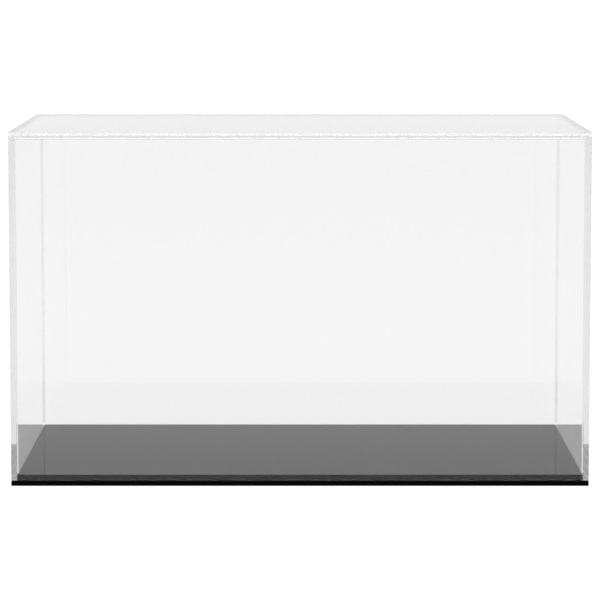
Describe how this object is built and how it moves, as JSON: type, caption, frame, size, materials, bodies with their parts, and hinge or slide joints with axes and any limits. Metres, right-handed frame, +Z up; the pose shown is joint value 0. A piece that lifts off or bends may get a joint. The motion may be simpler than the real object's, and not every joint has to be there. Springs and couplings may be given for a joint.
{
  "type": "football display case",
  "caption": "Rectangular display case: a clear flat-walled box cover lifts straight up off a stepped glossy black base, for showing a football or similar collectible.",
  "frame": {"origin": "centre of the base plate's underside, where the case stands on a shelf", "axes": "+X to the right across the front, which is the long side; -Y towards the viewer in front; +Z up, the way the cover lifts off"},
  "size_m": [0.32, 0.196, 0.196],
  "materials": {
    "black_acrylic": "polished",
    "clear_acrylic": "polished"
  },
  "bodies": {
    "base": {"base_plate": "black_acrylic", "locating_plate": "black_acrylic"},
    "cover": {"front_panel": "clear_acrylic", "rear_panel": "clear_acrylic", "left_panel": "clear_acrylic", "right_panel": "clear_acrylic", "top_panel": "clear_acrylic"}
  },
  "joints": [
    {"name": "cover_lift", "type": "slide", "parent": "base", "child": "cover", "axis": [0, 0, 1], "range_m": [0, 0.25]}
  ]
}
